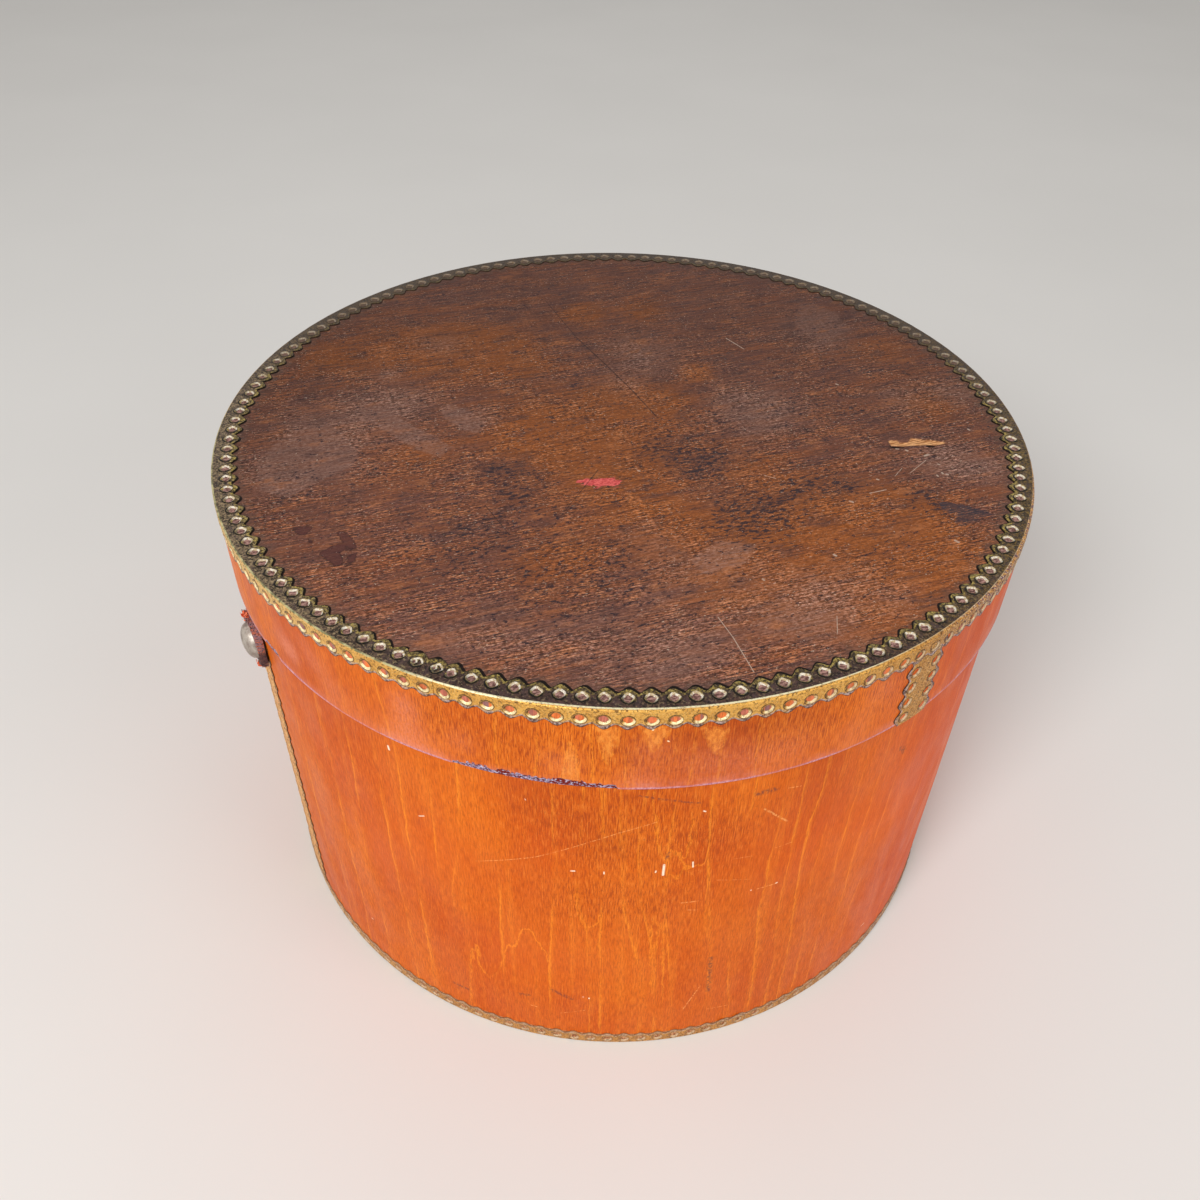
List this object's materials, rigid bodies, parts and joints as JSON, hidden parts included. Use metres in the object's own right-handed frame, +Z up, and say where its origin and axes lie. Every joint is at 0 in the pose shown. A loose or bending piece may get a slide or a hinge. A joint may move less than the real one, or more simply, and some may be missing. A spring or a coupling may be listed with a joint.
{
  "type": "hatbox",
  "caption": "Round plywood hatbox with a loose lift-off lid, perforated scalloped brass edge bindings, brass joint strips and the studded stubs of a carrying strap.",
  "frame": {"origin": "centre of the foot, on the surface that the box stands on", "axes": "+Z up, along the lid's lift; -Y towards the side that the picture shows"},
  "size_m": [0.4, 0.4, 0.2587],
  "materials": {
    "wall_ply": "amber varnish, satin to glossy, vertical grain",
    "rim_ply": "amber varnish, rubbed pink along the lower edge",
    "top_ply": "dark, dry and worn, with stains",
    "lid_brass": "aged brass, dark patina on top",
    "foot_brass": "dull grey-brown brass",
    "stud_nickel": "dull nickel plate",
    "strap_leather": "dark leather with torn red-brown fibres"
  },
  "bodies": {
    "box": {"body_wall": "wall_ply", "base_panel": "wall_ply", "foot_binding": "foot_brass", "body_joint_strip": "foot_brass", "strap_stub_left": "strap_leather", "strap_stub_right": "strap_leather", "strap_stud_left": "stud_nickel", "strap_stud_right": "stud_nickel", "stud_washer_left": "stud_nickel", "stud_washer_right": "stud_nickel"},
    "lid": {"lid_panel": "top_ply", "lid_rim": "rim_ply", "lid_binding": "lid_brass", "lid_joint_strip": "lid_brass"}
  },
  "joints": [
    {"name": "lid_lift", "type": "slide", "parent": "box", "child": "lid", "axis": [0, 0, 1], "range_m": [0, 0.26]}
  ]
}
